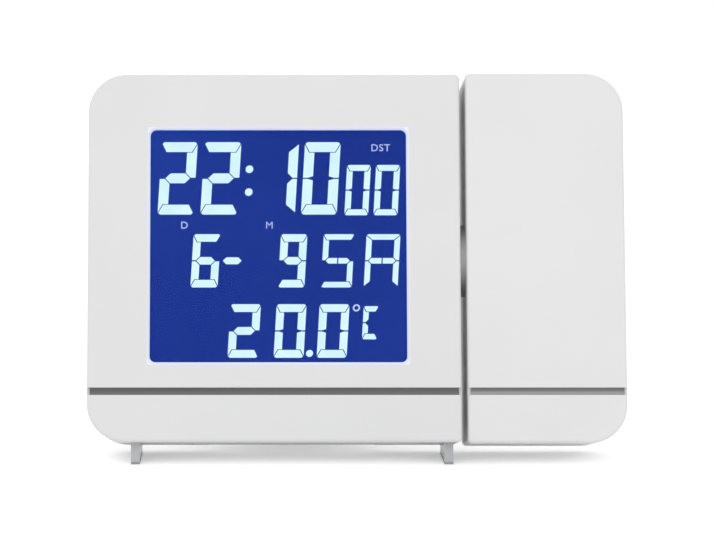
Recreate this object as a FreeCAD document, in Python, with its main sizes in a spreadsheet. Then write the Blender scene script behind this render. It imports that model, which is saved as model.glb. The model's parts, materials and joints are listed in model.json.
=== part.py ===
import FreeCAD, Part
import math
import os

import Sketcher

# Projection alarm clock. A square case with a large display stands beside a projector arm of the same height,
# which swivels on a hollow shaft between the two. The case leans back on two fin feet and a fold-out stand.
#
# Case frame: X runs to the right as seen from the front, Y from the face to the back, Z from the bottom
# edge of the case to its top. Every piece is drawn there and then leaned back by the stance placement,
# which sets the feet and the stand on Z = 0 and centres the clock over the origin. Lengths are in mm.

SIZES = {
    # The case and its shells
    "case_width": 111.0,
    "case_height": 110.0,
    "case_depth": 26.0,
    "parting_depth": 13.0,
    "wall": 2.0,
    "corner_radius": 11.3,
    "gap_corner_radius": 1.3,
    "inner_corner": 0.3,
    "front_round": 1.1,
    "rear_round": 1.2,
    "fit_gap": 0.15,
    # The projector arm and its swivel
    "arm_width": 47.2,
    "arm_overhang": 0.3,
    "swivel_gap": 1.8,
    "hub_radius": 10.9,
    "shaft_radius": 7.0,
    "shaft_bore": 4.0,
    "running_gap": 0.06,
    "bush_radius": 9.0,
    "bush_flange_radius": 10.4,
    "ring_groove": 0.8,
    "ring_width": 1.2,
    "cable_radius": 1.5,
    # How the clock stands
    "lean_angle": 12.0,
    "foot_height": 6.5,
    "foot_front": 4.0,
    "foot_length": 18.0,
    "foot_width": 2.6,
    "foot_left_inset": 14.3,
    "foot_right_inset": 3.7,
    "foot_pad_height": 0.8,
    "stand_open_angle": 30.0,
    "stand_width": 50.0,
    "stand_taper": 4.0,
    "stand_thickness": 2.4,
    "stand_recess": 4.0,
    "stand_below_bay": 5.5,
    "hinge_radius": 1.8,
    "pin_radius": 0.8,
    # The trim band across the lower front
    "band_bottom": 13.9,
    "band_height": 2.2,
    "band_thickness": 1.0,
    "band_sunk": 0.2,
    # The display
    "display_left_margin": 18.5,
    "display_right_margin": 16.0,
    "display_bottom_margin": 23.6,
    "display_top_margin": 16.7,
    "display_corner": 1.8,
    "display_bevel": 0.6,
    "window_sunk": 0.5,
    "window_flange": 0.8,
    "glass_margin": 1.5,
    "glass_thickness": 2.2,
    "guide_thickness": 3.0,
    "display_frame_wall": 0.8,
    "board_thickness": 1.6,
    # Battery bay: three AAA cells side by side
    "cell_radius": 5.25,
    "cell_length": 44.5,
    "cell_pitch": 11.3,
    "contact_room": 6.5,
    "contact_half": 4.0,
    "contact_thickness": 0.4,
    "bay_left_inset": 14.0,
    "bay_top_inset": 22.0,
    "bay_wall": 1.2,
    "door_thickness": 2.0,
    "door_pin_radius": 0.6,
    # Keys and sliders
    "snooze_width": 52.0,
    "snooze_depth": 12.0,
    "snooze_travel": 1.0,
    "snooze_proud": 0.3,
    "snooze_corner": 2.0,
    "snooze_flange": 1.0,
    "key_radius": 4.0,
    "key_pitch": 12.0,
    "key_row_inset": 10.5,
    "key_first_inset": 18.0,
    "key_travel": 0.7,
    "key_proud": 0.6,
    "key_edge": 0.4,
    "key_flange": 1.0,
    "slider_travel": 3.0,
    "slider_pitch": 13.0,
    "slider_half_width": 2.5,
    "slider_half_height": 1.5,
    # Projector optics
    "barrel_radius": 7.5,
    "lens_radius": 6.5,
    "wheel_radius": 12.2,
    "wheel_width": 6.0,
    "wheel_height": 80.0,
    "wheel_proud": 1.2,
    "tube_wall": 1.3,
    "tube_bottom": 26.0,
    "focus_travel": 2.5,
    "knurl_radius": 0.6,
    # Fasteners
    "screw_radius": 1.2,
    "screw_head_radius": 2.6,
    "post_radius": 4.0,
    "board_screw_head_radius": 2.0,
    "board_post_radius": 2.2,
    "small_screw_radius": 0.9,
    # Inner parts bought in
    "antenna_radius": 4.0,
    "antenna_length": 60.0,
    "buzzer_radius": 8.5,
    "sound_hole_radius": 0.9,
    "sound_hole_ring": 3.6,
    "inlet_half_width": 4.6,
    "inlet_half_height": 1.8,
}

doc = FreeCAD.newDocument("ProjectionClock")
sheet = doc.addObject("Spreadsheet::Sheet", "Dims")


class Size:
    """A number together with the sheet expression that gives it, so plain arithmetic builds bindings."""

    def __init__(self, value, text):
        self.value = value
        self.text = text

    def __add__(self, other):
        other = size(other)
        return Size(self.value + other.value, f"({self.text} + {other.text})")

    def __sub__(self, other):
        other = size(other)
        return Size(self.value - other.value, f"({self.text} - {other.text})")

    def __mul__(self, other):
        other = size(other)
        return Size(self.value * other.value, f"({self.text} * {other.text})")

    def __truediv__(self, other):
        other = size(other)
        return Size(self.value / other.value, f"({self.text} / {other.text})")

    def __radd__(self, other):
        return size(other) + self

    def __rsub__(self, other):
        return size(other) - self

    def __rmul__(self, other):
        return size(other) * self

    def __neg__(self):
        return size(0) - self


def size(value):
    """A Size as it is, or a plain number as a Size."""
    return value if isinstance(value, Size) else Size(float(value), repr(float(value)))


def sine(angle):
    return Size(math.sin(math.radians(angle.value)), f"sin({angle.text})")


def cosine(angle):
    return Size(math.cos(math.radians(angle.value)), f"cos({angle.text})")


def tangent(angle):
    return Size(math.tan(math.radians(angle.value)), f"tan({angle.text})")


class Sheet:
    """The sheet's sizes by name."""


D = Sheet()
for row, (alias, number) in enumerate(SIZES.items(), start=1):
    sheet.set(f"A{row}", alias)
    sheet.set(f"B{row}", str(number))
    sheet.setAlias(f"B{row}", alias)
    setattr(D, alias, Size(float(number), f"Dims.{alias}"))
doc.recompute()

# Edges of the case and the arm
LEFT = -(D.case_width + D.swivel_gap + D.arm_width) / 2
RIGHT = LEFT + D.case_width
ARM_LEFT = RIGHT + D.swivel_gap
ARM_RIGHT = ARM_LEFT + D.arm_width
ARM_BOTTOM = -D.arm_overhang
TOP = D.case_height
ARM_TOP = TOP + D.arm_overhang
BACK = D.case_depth
INNER_BACK = BACK - D.wall
HUB_Z = TOP / 2
HUB_Y = D.parting_depth

# The display stack, from the face towards the back
OPENING = (
    LEFT + D.display_left_margin,
    RIGHT - D.display_right_margin,
    D.display_bottom_margin,
    TOP - D.display_top_margin,
)
WINDOW_BACK = D.wall + D.window_flange
GLASS_FRONT = WINDOW_BACK + 0.2
GUIDE_FRONT = GLASS_FRONT + D.glass_thickness
GUIDE_BACK = GUIDE_FRONT + D.guide_thickness
BOARD_FRONT = GUIDE_BACK + 0.2
BOARD_BACK = BOARD_FRONT + D.board_thickness
GLASS_LEFT = OPENING[0] - D.glass_margin
GLASS_RIGHT = OPENING[1] + D.glass_margin
GLASS_BOTTOM = OPENING[2] - 4.6
GLASS_TOP = OPENING[3] + 3.7
BOARD_LEFT = GLASS_LEFT - 6.5
BOARD_RIGHT = GLASS_RIGHT + 5.5
BOARD_BOTTOM = GLASS_BOTTOM - 1.5
BOARD_TOP = GLASS_TOP + 2.0

# The battery bay and the stand below it
BAY_LEFT = LEFT + D.bay_left_inset
BAY_RIGHT = BAY_LEFT + D.cell_length + D.contact_room
BAY_TOP = TOP - D.bay_top_inset
BAY_BOTTOM = BAY_TOP - D.cell_pitch * 3 - 0.6
CELL_Y = INNER_BACK - 0.3 - D.cell_radius
BAY_FLOOR = CELL_Y - D.cell_radius - 0.2
STAND_Z = BAY_BOTTOM - D.stand_below_bay
STAND_Y = BACK - 2.0

# Feet and the ground they stand on
FOOT_LEFT_X = LEFT + D.foot_left_inset
FOOT_RIGHT_X = RIGHT - D.foot_right_inset
STAND_X = (FOOT_LEFT_X + FOOT_RIGHT_X) / 2

# The snooze key sits over the middle of the display
SNOOZE_LEFT = (OPENING[0] + OPENING[1]) / 2 - D.snooze_width / 2
SNOOZE_RIGHT = SNOOZE_LEFT + D.snooze_width
SNOOZE_FRONT = D.parting_depth - D.snooze_depth / 2
SNOOZE_BACK = SNOOZE_FRONT + D.snooze_depth

# The key board behind the back wall, and the row of keys and sliders on it
KEY_Z = TOP - D.key_row_inset
KEY_BOARD_FRONT = INNER_BACK - 7.0
KEY_BOARD_BACK = KEY_BOARD_FRONT + D.board_thickness
KEY_FLANGE_FRONT = INNER_BACK - 1.5
SWITCH_TOP = KEY_FLANGE_FRONT - D.key_travel - 0.1
KEY_XS = [LEFT + D.key_first_inset + D.key_pitch * n for n in range(5)]
SLIDER_XS = [KEY_XS[-1] + 13.0 + D.slider_pitch * n for n in range(2)]
KEY_BOARD_LEFT = KEY_XS[0] - 5.0
KEY_BOARD_RIGHT = SLIDER_XS[-1] + 6.0

# Optical axis of the projector, parallel to the arm's long sides
OPTIC_X = (ARM_LEFT + ARM_RIGHT) / 2
OPTIC_Y = BACK + D.wheel_proud - D.wheel_radius
BARREL_BORE = D.barrel_radius + D.running_gap
TUBE_RADIUS = D.barrel_radius + D.tube_wall
LENS_BORE = D.lens_radius + 0.4
WHEEL_TOP = D.wheel_height + D.wheel_width
TUBE_TOP = D.wheel_height - 2.0
BARREL_BOTTOM = TUBE_TOP - 16.0
BARREL_TOP = ARM_TOP - D.wall - D.focus_travel - 1.8

# Screw places, as (x, z)
CASE_SCREWS = [
    (LEFT + 7.5, TOP - 7.5),
    (LEFT + 7.5, size(7.5)),
    (RIGHT - 5.5, TOP - 7.0),
    (RIGHT - 9.0, size(8.5)),
]
ARM_SCREWS = [
    (ARM_LEFT + 5.8, size(14.0)),
    (ARM_LEFT + 5.8, TOP - 14.0),
    (ARM_RIGHT - 6.5, size(18.0)),
    (ARM_RIGHT - 6.5, TOP - 18.0),
]
BOARD_SCREWS = [
    (BOARD_LEFT + 2.5, BOARD_BOTTOM + 6.5),
    (BOARD_LEFT + 2.5, BOARD_TOP - 7.0),
    (BOARD_RIGHT - 1.9, BOARD_BOTTOM + 6.5),
    (BOARD_RIGHT - 1.9, BOARD_TOP - 7.0),
]
KEY_BOARD_BOTTOM = BAY_TOP + D.bay_wall + 0.5
KEY_BOARD_TOP = KEY_Z + 6.0
KEY_BOARD_SCREWS = [
    (KEY_XS[0] + 6.0, KEY_BOARD_BOTTOM + 2.6),
    (SLIDER_XS[0] + 6.0, KEY_BOARD_BOTTOM + 2.6),
]

# The stance: the case leans back about X, then is lifted onto the ground and centred front to back
LIFT = D.foot_height * cosine(D.lean_angle) + D.foot_front * sine(D.lean_angle)
STAND_TILT = D.stand_open_angle - D.lean_angle


def ground_at(depth):
    """Height of the ground in the case frame, at a depth behind the face."""
    return (depth - D.foot_front) * tangent(D.lean_angle) - D.foot_height


STAND_REACH = (STAND_Z - ground_at(STAND_Y)) * cosine(D.lean_angle)
PAD_HALF = D.hinge_radius + 0.1


def stand_ground_at(depth):
    """Depth of the ground below the stand's hinge, in the folded stand's own frame."""
    return (STAND_REACH + depth * sine(STAND_TILT)) / cosine(STAND_TILT)


AXIS_Y = STAND_Y * cosine(D.lean_angle) + STAND_Z * sine(D.lean_angle)
AXIS_Z = STAND_Z * cosine(D.lean_angle) - STAND_Y * sine(D.lean_angle)
REARMOST = AXIS_Y + PAD_HALF * cosine(STAND_TILT) + stand_ground_at(PAD_HALF) * sine(STAND_TILT)
FACE_CORNER = D.front_round * (cosine(D.lean_angle) + sine(D.lean_angle) - 1)
FOREMOST = FACE_CORNER - D.arm_overhang * sine(D.lean_angle)
SHIFT = -(REARMOST + FOREMOST) / 2

parts = {}


def place(piece, base_y, base_z, axis_sign, angle):
    """Binds a piece's placement: turned by angle about X and moved in Y and Z."""
    piece.Placement = FreeCAD.Placement(
        FreeCAD.Vector(0, base_y.value, base_z.value),
        FreeCAD.Rotation(FreeCAD.Vector(axis_sign, 0, 0), angle.value),
    )
    piece.setExpression("Placement.Base.y", base_y.text)
    piece.setExpression("Placement.Base.z", base_z.text)
    piece.setExpression("Placement.Rotation.Angle", angle.text)


def stand_up(piece):
    """Leans a piece back with the case."""
    place(piece, SHIFT, LIFT, -1, D.lean_angle)


def set_bound(target, path, value):
    """Sets one number of an object and binds it to the sheet."""
    target.setExpression(path, size(value).text)


class Corner:
    """A corner of a sketch outline, sharp or rounded."""

    def __init__(self, x, y, radius=0):
        self.x = size(x)
        self.y = size(y)
        self.radius = size(radius)


class Round:
    """A full circle of a sketch."""

    def __init__(self, x, y, radius):
        self.x = size(x)
        self.y = size(y)
        self.radius = size(radius)


def rectangle(left, right, bottom, top, radius=0):
    """The four corners of a rectangle, all with one radius."""
    return [
        Corner(left, bottom, radius),
        Corner(right, bottom, radius),
        Corner(right, top, radius),
        Corner(left, top, radius),
    ]


def polygon(*points):
    """An outline through (x, y) or (x, y, radius) points."""
    return [Corner(*point) for point in points]


def pin_point(sketch, geometry, position, spot):
    """Fixes a sketch point at its distances from the origin."""
    for kind, value in (("DistanceX", spot.x), ("DistanceY", spot.y)):
        index = sketch.addConstraint(
            Sketcher.Constraint(kind, -1, 1, geometry, position, value.value)
        )
        sketch.setExpression(f"Constraints[{index}]", value.text)


def bind_radius(sketch, geometry, radius):
    index = sketch.addConstraint(Sketcher.Constraint("Radius", geometry, radius.value))
    sketch.setExpression(f"Constraints[{index}]", radius.text)


def draw_circle(sketch, circle):
    centre = FreeCAD.Vector(circle.x.value, circle.y.value, 0)
    up = FreeCAD.Vector(0, 0, 1)
    geometry = sketch.addGeometry(Part.Circle(centre, up, circle.radius.value), False)
    pin_point(sketch, geometry, 3, circle)
    bind_radius(sketch, geometry, circle.radius)


def corner_arc(corner, towards_last, towards_next):
    """Start, middle and end of the arc that rounds a corner, given unit vectors along its two sides."""
    point = FreeCAD.Vector(corner.x.value, corner.y.value, 0)
    half = towards_last.getAngle(towards_next) / 2
    reach = corner.radius.value / math.tan(half)
    bisector = (towards_last + towards_next).normalize()
    middle = point + bisector * (corner.radius.value / math.sin(half) - corner.radius.value)
    return point + towards_last * reach, middle, point + towards_next * reach


def draw_outline(sketch, corners):
    """Draws a closed outline of lines and corner arcs, fully constrained to the corners' sizes."""
    points = [FreeCAD.Vector(c.x.value, c.y.value, 0) for c in corners]
    count = len(corners)
    arcs = {}
    for n, corner in enumerate(corners):
        if corner.radius.value > 0:
            last = (points[n - 1] - points[n]).normalize()
            following = (points[(n + 1) % count] - points[n]).normalize()
            arcs[n] = corner_arc(corner, last, following)
    lines = []
    for n in range(count):
        after = (n + 1) % count
        start = arcs[n][2] if n in arcs else points[n]
        end = arcs[after][0] if after in arcs else points[after]
        lines.append(sketch.addGeometry(Part.LineSegment(start, end), False))
    for n, corner in enumerate(corners):
        before = lines[n - 1]
        line = lines[n]
        if n not in arcs:
            sketch.addConstraint(Sketcher.Constraint("Coincident", before, 2, line, 1))
            pin_point(sketch, line, 1, corner)
            continue
        arc = sketch.addGeometry(Part.Arc(*arcs[n]), False)
        vertex = sketch.addGeometry(Part.Point(points[n]), True)
        pin_point(sketch, vertex, 1, corner)
        sketch.addConstraint(Sketcher.Constraint("PointOnObject", vertex, 1, before))
        sketch.addConstraint(Sketcher.Constraint("PointOnObject", vertex, 1, line))
        for line_end, line_index in ((2, before), (1, line)):
            joint = points_meet(sketch, line_index, line_end, arc)
            sketch.addConstraint(Sketcher.Constraint("Tangent", line_index, line_end, arc, joint))
        bind_radius(sketch, arc, corner.radius)


def points_meet(sketch, line, line_end, arc):
    """Which end of the arc lies on that end of the line."""
    spot = sketch.getPoint(line, line_end)
    return min((1, 2), key=lambda end: spot.distanceToPoint(sketch.getPoint(arc, end)))


# Each view: the origin plane drawn on, the sign of its normal along the view's depth axis
VIEWS = {
    "front": ("XZ_Plane", -1),
    "plan": ("XY_Plane", 1),
    "side": ("YZ_Plane", 1),
}


class Piece:
    """One piece of the clock as a PartDesign body, built up from extrusions and revolutions."""

    def __init__(self, label):
        self.body = doc.addObject("PartDesign::Body", label)
        self.body.Label = label
        self.count = 0
        parts[label] = self.body

    def sketch(self, plane, offset, loops):
        """A sketch on one of the body's own origin planes, moved by offset in the sketch's axes."""
        self.count += 1
        drawn = self.body.newObject("Sketcher::SketchObject", f"{self.body.Name}_sketch{self.count}")
        support = [f for f in self.body.Origin.OriginFeatures if f.Role == plane][0]
        drawn.AttachmentSupport = [(support, "")]
        drawn.MapMode = "FlatFace"
        for letter, value in zip("xyz", offset):
            set_bound(drawn, f"AttachmentOffset.Base.{letter}", value)
        for loop in loops:
            if isinstance(loop, Round):
                draw_circle(drawn, loop)
            else:
                draw_outline(drawn, loop)
        return drawn

    def finish(self, feature, kind):
        """Recomputes after a feature and checks that it changed the solid the right way."""
        before = self.volume if self.count > 1 else 0.0
        doc.recompute()
        self.volume = self.body.Shape.Volume
        grew = self.volume - before
        if kind == "add" and grew < 1e-6 or kind == "cut" and grew > -1e-6:
            raise RuntimeError(f"{feature.Name} left {self.body.Label} as it was")

    def extrude(self, feature_type, view, start, end, loops):
        plane, sign = VIEWS[view]
        drawn = self.sketch(plane, (0, 0, size(start) * sign), loops)
        feature = self.body.newObject(feature_type, f"{drawn.Name}_{feature_type[12:].lower()}")
        feature.Profile = drawn
        set_bound(feature, "Length", size(end) - start)
        return feature, sign, drawn

    def add(self, view, start, end, *loops):
        """Material between two depths of a view."""
        feature, sign, drawn = self.extrude("PartDesign::Pad", view, start, end, loops)
        feature.Reversed = sign < 0
        self.finish(feature, "add")
        drawn.Visibility = False
        return self

    def cut(self, view, start, end, *loops):
        """A pocket between two depths of a view."""
        feature, sign, drawn = self.extrude("PartDesign::Pocket", view, start, end, loops)
        feature.Reversed = sign > 0
        self.finish(feature, "cut")
        drawn.Visibility = False
        return self

    def turn(self, axis, across, along, profile, kind="add"):
        """A full revolution about a line parallel to X, Y or Z through the point (across, along).

        The profile's points are (position along the axis, radius) for X, (radius, position) for Y and Z.
        """
        plane, offset, line = {
            "x": ("XY_Plane", (0, across, along), "H_Axis"),
            "y": ("XY_Plane", (across, 0, along), "V_Axis"),
            "z": ("XZ_Plane", (across, 0, -size(along)), "V_Axis"),
        }[axis]
        drawn = self.sketch(plane, offset, [profile])
        feature_type = "PartDesign::Revolution" if kind == "add" else "PartDesign::Groove"
        feature = self.body.newObject(feature_type, f"{drawn.Name}_turned")
        feature.Profile = drawn
        feature.ReferenceAxis = (drawn, [line])
        feature.Angle = 360
        self.finish(feature, kind)
        return self

    def round_edges(self, radius, chosen, feature_type="PartDesign::Fillet"):
        """Rounds or chamfers the edges of the solid that a test picks."""
        base = self.body.Tip
        names = [f"Edge{n}" for n, edge in enumerate(base.Shape.Edges, start=1) if chosen(edge)]
        if not names:
            raise RuntimeError(f"no edge of {self.body.Label} to round")
        feature = self.body.newObject(feature_type, f"{self.body.Name}_edge{len(self.body.Group)}")
        feature.Base = (base, names)
        set_bound(feature, "Radius" if feature_type.endswith("Fillet") else "Size", radius)
        self.finish(feature, "edge")
        return self

    def stand(self):
        stand_up(self.body)
        return self


def in_plane(axis, position):
    """A test for edges that lie wholly at one X, Y or Z."""
    low, high = {"x": ("XMin", "XMax"), "y": ("YMin", "YMax"), "z": ("ZMin", "ZMax")}[axis]

    def test(edge):
        box = edge.BoundBox
        return abs(getattr(box, low) - position) < 1e-4 and abs(getattr(box, high) - position) < 1e-4

    return test


def cylinder(axis, across, along, start, end, radius):
    """A cylinder parallel to X, Y or Z, from start to end along that axis."""
    rod = doc.addObject("Part::Cylinder", "rod")
    set_bound(rod, "Radius", radius)
    set_bound(rod, "Height", size(end) - start)
    turn, base = {
        "x": (FreeCAD.Rotation(FreeCAD.Vector(0, 1, 0), 90), (start, across, along)),
        "y": (FreeCAD.Rotation(FreeCAD.Vector(1, 0, 0), -90), (across, start, along)),
        "z": (FreeCAD.Rotation(), (across, along, start)),
    }[axis]
    rod.Placement = FreeCAD.Placement(FreeCAD.Vector(), turn)
    for letter, value in zip("xyz", base):
        set_bound(rod, f"Placement.Base.{letter}", value)
    return rod


def block(left, right, front, back, bottom, top):
    """A box between two positions on each axis."""
    cuboid = doc.addObject("Part::Box", "block")
    set_bound(cuboid, "Length", size(right) - left)
    set_bound(cuboid, "Width", size(back) - front)
    set_bound(cuboid, "Height", size(top) - bottom)
    for letter, value in zip("xyz", (left, front, bottom)):
        set_bound(cuboid, f"Placement.Base.{letter}", value)
    return cuboid


def joined(*shapes):
    """Several touching solids as one."""
    union = doc.addObject("Part::MultiFuse", "joined")
    union.Shapes = list(shapes)
    return union


def minus(base, tool):
    rest = doc.addObject("Part::Cut", "minus")
    rest.Base = base
    rest.Tool = tool
    return rest


def group(label, solids):
    """Like solids that share one node."""
    bundle = doc.addObject("Part::Compound", label)
    bundle.Label = label
    bundle.Links = solids
    parts[label] = bundle
    stand_up(bundle)


# Outlines of the case and the arm, as seen from the front

def case_outline(inset):
    """The case's outline, drawn in by inset: large corners outside, small ones at the swivel gap."""
    outer = D.corner_radius - inset
    inner = D.gap_corner_radius if inset.value == 0 else D.inner_corner
    return polygon(
        (LEFT + inset, size(0) + inset, outer),
        (RIGHT - inset, size(0) + inset, inner),
        (RIGHT - inset, TOP - inset, inner),
        (LEFT + inset, TOP - inset, outer),
    )


def arm_outline(inset):
    """The arm's outline, drawn in by inset."""
    outer = D.corner_radius - inset
    inner = D.gap_corner_radius if inset.value == 0 else D.inner_corner
    return polygon(
        (ARM_LEFT + inset, ARM_BOTTOM + inset, inner),
        (ARM_RIGHT - inset, ARM_BOTTOM + inset, outer),
        (ARM_RIGHT - inset, ARM_TOP - inset, outer),
        (ARM_LEFT + inset, ARM_TOP - inset, inner),
    )


def front_half(label, outline):
    """A front shell: face, side walls and rounded front edge."""
    shell = Piece(label)
    shell.add("front", 0, D.parting_depth, outline(size(0)))
    shell.round_edges(D.front_round, in_plane("y", 0))
    shell.cut("front", D.wall, D.parting_depth, outline(D.wall))
    return shell


def rear_half(label, outline):
    """A rear shell: back wall, side walls and rounded back edge."""
    shell = Piece(label)
    shell.add("front", D.parting_depth, BACK, outline(size(0)))
    shell.round_edges(D.rear_round, in_plane("y", BACK.value))
    shell.cut("front", D.parting_depth, INNER_BACK, outline(D.wall))
    return shell


def screw_posts(shell, places, start, end):
    """Round posts for the screws that hold two shells together."""
    for x, z in places:
        shell.add("front", start, end, Round(x, z, D.post_radius))


def front_posts(shell, places):
    screw_posts(shell, places, D.wall, D.parting_depth)
    for x, z in places:
        shell.cut("front", 5, D.parting_depth, Round(x, z, D.screw_radius + D.running_gap))


def rear_posts(shell, places):
    screw_posts(shell, places, D.parting_depth, INNER_BACK)
    for x, z in places:
        shell.cut("front", D.parting_depth, BACK, Round(x, z, D.screw_radius + D.fit_gap))
        shell.cut("front", D.parting_depth + 4, BACK, Round(x, z, D.screw_head_radius + D.fit_gap))


def hub_hole(shell, radius, start, end):
    """Half of the hole for the swivel, in the side wall that faces the gap."""
    shell.cut("side", start, end, Round(HUB_Y, HUB_Z, radius))


def band_groove(shell, left, right):
    """The groove across the face for the trim band."""
    low = D.band_bottom
    high = low + D.band_height
    depth = D.band_thickness + D.band_sunk
    shell.cut("plan", low, high, rectangle(left - 1, right + 1, size(-1), depth))


def foot_slots(shell, front, back):
    """Slots through the bottom for the two feet."""
    half = D.foot_width / 2
    for x in (FOOT_LEFT_X, FOOT_RIGHT_X):
        shell.cut("plan", -1, D.wall, rectangle(x - half, x + half, front, back))


def snooze_opening(shell):
    shell.cut(
        "plan", TOP - D.wall, TOP + 1,
        rectangle(
            SNOOZE_LEFT - D.fit_gap, SNOOZE_RIGHT + D.fit_gap,
            SNOOZE_FRONT - D.fit_gap, SNOOZE_BACK + D.fit_gap, D.snooze_corner,
        ),
    )


# Front shell of the case

FOOT_FRONT = D.foot_front
FOOT_BACK = D.foot_front + D.foot_length
front = front_half("front_shell", case_outline)
front_posts(front, CASE_SCREWS)
for x, z in BOARD_SCREWS:
    front.add("front", D.wall, BOARD_FRONT, Round(x, z, D.board_post_radius))
    front.cut("front", 4, BOARD_FRONT, Round(x, z, D.screw_radius))
front.cut("front", 0, D.wall, rectangle(*OPENING, D.display_corner))
front.round_edges(
    D.display_bevel,
    lambda edge: in_plane("y", 0)(edge)
    and edge.BoundBox.XMin > OPENING[0].value - 0.1
    and edge.BoundBox.XMax < OPENING[1].value + 0.1
    and edge.BoundBox.ZMin > OPENING[2].value - 0.1,
    "PartDesign::Chamfer",
)
snooze_opening(front)
hub_hole(front, D.bush_radius, RIGHT - D.wall, RIGHT + 1)
foot_slots(front, FOOT_FRONT, D.parting_depth)
band_groove(front, LEFT, RIGHT)
front.stand()

# Rear shell of the case, with the battery bay, the stand's recess and the places for the keys

STAND_HALF = D.stand_width / 2
RECESS_FLOOR = BACK - D.stand_recess
RECESS_LEFT = STAND_X - STAND_HALF - 0.3
RECESS_RIGHT = STAND_X + STAND_HALF + 0.3
RECESS_TOP = STAND_Z + 2.5
BUZZER_X = BAY_RIGHT + 20.0
BUZZER_Z = BAY_BOTTOM + 20.0
INLET_X = RIGHT - 13.0
INLET_Z = size(28.0)
INLET_SIDES = (
    INLET_X - D.inlet_half_width,
    INLET_X + D.inlet_half_width,
    INLET_Z - D.inlet_half_height,
    INLET_Z + D.inlet_half_height,
)
ANTENNA_Y = D.parting_depth + 2.0
ANTENNA_Z = size(9.5)
ANTENNA_LEFT = STAND_X - D.antenna_length / 2
CRADLES = (ANTENNA_LEFT + 4.0, ANTENNA_LEFT + D.antenna_length - 7.0)
DOOR_Y = BACK - D.door_thickness / 2
DOOR_Z = BAY_BOTTOM + D.door_thickness / 2 + D.fit_gap
SENSOR_X = LEFT + 9.0
SENSOR_Z = size(30.0)

rear = rear_half("rear_shell", case_outline)
rear_posts(rear, CASE_SCREWS)
rear.add(
    "front", BAY_FLOOR - D.bay_wall, INNER_BACK,
    rectangle(
        BAY_LEFT - D.bay_wall, BAY_RIGHT + D.bay_wall, BAY_BOTTOM - D.bay_wall, BAY_TOP + D.bay_wall, 0
    ),
)
rear.cut("front", BAY_FLOOR, BACK, rectangle(BAY_LEFT, BAY_RIGHT, BAY_BOTTOM, BAY_TOP))
rear.cut("side", BAY_LEFT - 1.7, BAY_RIGHT + 1.7, Round(DOOR_Y, DOOR_Z, D.door_pin_radius + D.running_gap))
rear.add(
    "front", RECESS_FLOOR - D.wall, INNER_BACK,
    rectangle(RECESS_LEFT - 4.0, RECESS_RIGHT + 4.0, D.wall, BAY_BOTTOM - D.bay_wall),
)
rear.cut("front", RECESS_FLOOR, BACK, rectangle(RECESS_LEFT, RECESS_RIGHT, size(-1), RECESS_TOP))
rear.cut("side", RECESS_LEFT - 2.5, RECESS_RIGHT + 2.5, Round(STAND_Y, STAND_Z, D.pin_radius))
for x in CRADLES:
    rear.add(
        "side", x, x + 3.0,
        rectangle(ANTENNA_Y - 0.5, RECESS_FLOOR - D.wall, ANTENNA_Z - 5.5, ANTENNA_Z + 5.5),
    )
    rear.cut("side", x, x + 3.0, Round(ANTENNA_Y, ANTENNA_Z, D.antenna_radius))
for x, z in KEY_BOARD_SCREWS:
    rear.add("front", KEY_BOARD_BACK, INNER_BACK, Round(x, z, 2.0))
    rear.cut("front", KEY_BOARD_BACK, INNER_BACK, Round(x, z, D.small_screw_radius))
for x in KEY_XS:
    rear.cut("front", INNER_BACK, BACK, Round(x, KEY_Z, D.key_radius + D.fit_gap))
for x in SLIDER_XS:
    rear.cut(
        "front", INNER_BACK, BACK,
        rectangle(
            x - D.slider_half_width - D.fit_gap, x + D.slider_half_width + D.slider_travel + D.fit_gap,
            KEY_Z - D.slider_half_height - D.fit_gap, KEY_Z + D.slider_half_height + D.fit_gap,
        ),
    )
rear.add(
    "front", INNER_BACK - 5.0, INNER_BACK,
    Round(BUZZER_X, BUZZER_Z, D.buzzer_radius + 1.2),
)
rear.cut("front", INNER_BACK - 5.0, INNER_BACK, Round(BUZZER_X, BUZZER_Z, D.buzzer_radius))
SOUND_HOLES = [(size(0), size(0))]
for n in range(6):
    turn = math.radians(60 * n)
    SOUND_HOLES.append((D.sound_hole_ring * math.cos(turn), D.sound_hole_ring * math.sin(turn)))
rear.cut(
    "front", INNER_BACK, BACK,
    *[Round(BUZZER_X + dx, BUZZER_Z + dz, D.sound_hole_radius) for dx, dz in SOUND_HOLES],
)
rear.cut(
    "front", INNER_BACK, BACK,
    *[
        rectangle(SENSOR_X - 4.0, SENSOR_X + 4.0, SENSOR_Z + 3.0 * n - 0.5, SENSOR_Z + 3.0 * n + 0.5)
        for n in (-3, -2, -1, 1, 2, 3)
    ],
)
rear.add(
    "front", INNER_BACK - 6.0, INNER_BACK,
    rectangle(INLET_X - 6.2, INLET_X + 6.2, INLET_Z - 3.4, INLET_Z + 3.4),
)
rear.cut(
    "front", INNER_BACK - 6.0, BACK,
    rectangle(*INLET_SIDES, 1.2),
)
snooze_opening(rear)
hub_hole(rear, D.bush_radius, RIGHT - D.wall, RIGHT + 1)
foot_slots(rear, D.parting_depth, FOOT_BACK)
rear.stand()

# The trim bands, ending where the face starts to round off

for label, left, right in (
    ("case_band", LEFT + 0.9, RIGHT - 0.9),
    ("arm_band", ARM_LEFT + 0.9, ARM_RIGHT - 0.9),
):
    band = Piece(label)
    band.add(
        "front", D.band_sunk, D.band_sunk + D.band_thickness,
        rectangle(left, right, D.band_bottom, D.band_bottom + D.band_height),
    )
    band.stand()

# The display

window = Piece("display_window")
window.add("front", D.window_sunk + D.display_bevel, D.wall, rectangle(*OPENING, D.display_corner))
window.add(
    "front", D.wall, WINDOW_BACK,
    rectangle(GLASS_LEFT, GLASS_RIGHT, OPENING[2] - 1.5, OPENING[3] + 1.5),
)
window.stand()

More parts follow.
